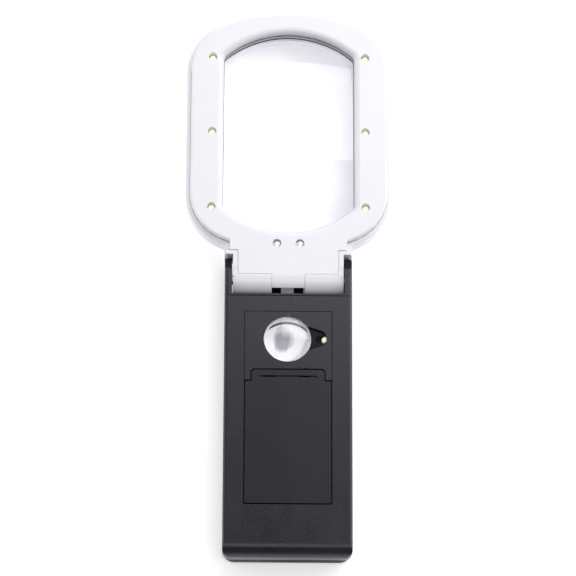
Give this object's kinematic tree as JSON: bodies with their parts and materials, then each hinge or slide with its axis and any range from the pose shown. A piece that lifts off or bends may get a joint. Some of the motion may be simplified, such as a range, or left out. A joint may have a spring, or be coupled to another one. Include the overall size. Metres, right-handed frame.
{
  "type": "low vision magnifier",
  "caption": "Hand-held illuminated magnifier: large rectangular lens in a folding head, with a battery handle holding a small second lens.",
  "frame": {"origin": "on the table under the middle of the fold axis, the magnifier lying on its back and opened straight", "axes": "+Y from the handle to the head, +Z out of the front faces with the lamps and the battery door, +X to the right seen from the front"},
  "size_m": [0.0886, 0.242, 0.018],
  "materials": {
    "white_abs": "glossy moulded ABS",
    "charcoal_abs": "satin, very fine moulded texture",
    "charcoal_door": "satin, very fine moulded texture",
    "black_plastic": "matte",
    "acrylic": "polished clear acrylic",
    "led_resin": "clear resin over yellow phosphor",
    "pcb": "solder mask",
    "steel": "zinc plated",
    "spring_steel": "nickel plated",
    "wire_grey": "PVC insulation",
    "cell_jacket": "printed-free foil jacket"
  },
  "bodies": {
    "handle": {"battery_cells": "cell_jacket", "battery_leads": "wire_grey", "battery_tray": "black_plastic", "board_parts": "black_plastic", "contact_plates": "spring_steel", "contact_springs": "spring_steel", "front_shell": "charcoal_abs", "handle_wires": "wire_grey", "loupe_barrel": "white_abs", "loupe_led": "led_resin", "loupe_lens": "acrylic", "loupe_panel": "charcoal_abs", "main_board": "pcb", "rear_shell": "charcoal_abs", "shell_screws": "steel", "switch_housing": "black_plastic"},
    "head": {"rear_frame": "white_abs", "bezel": "white_abs", "main_lens": "acrylic", "led_board": "pcb", "head_leds": "led_resin", "neck_screws": "steel", "hinge_pins": "steel", "hinge_washers": "spring_steel", "head_wires": "wire_grey"},
    "door": {"battery_door": "charcoal_door"},
    "switch": {"switch_knob": "black_plastic"}
  },
  "joints": [
    {"name": "head_fold", "type": "hinge", "parent": "handle", "child": "head", "pos_m": [0, 0, 0.009], "axis": [1, 0, 0], "range_deg": [0, 90]},
    {"name": "door_swing", "type": "hinge", "parent": "handle", "child": "door", "pos_m": [0, -0.099, 0.018], "axis": [1, 0, 0], "range_deg": [0, 70]},
    {"name": "switch_slide", "type": "slide", "parent": "handle", "child": "switch", "axis": [0, 1, 0], "range_m": [-0.0025, 0.0025]}
  ]
}
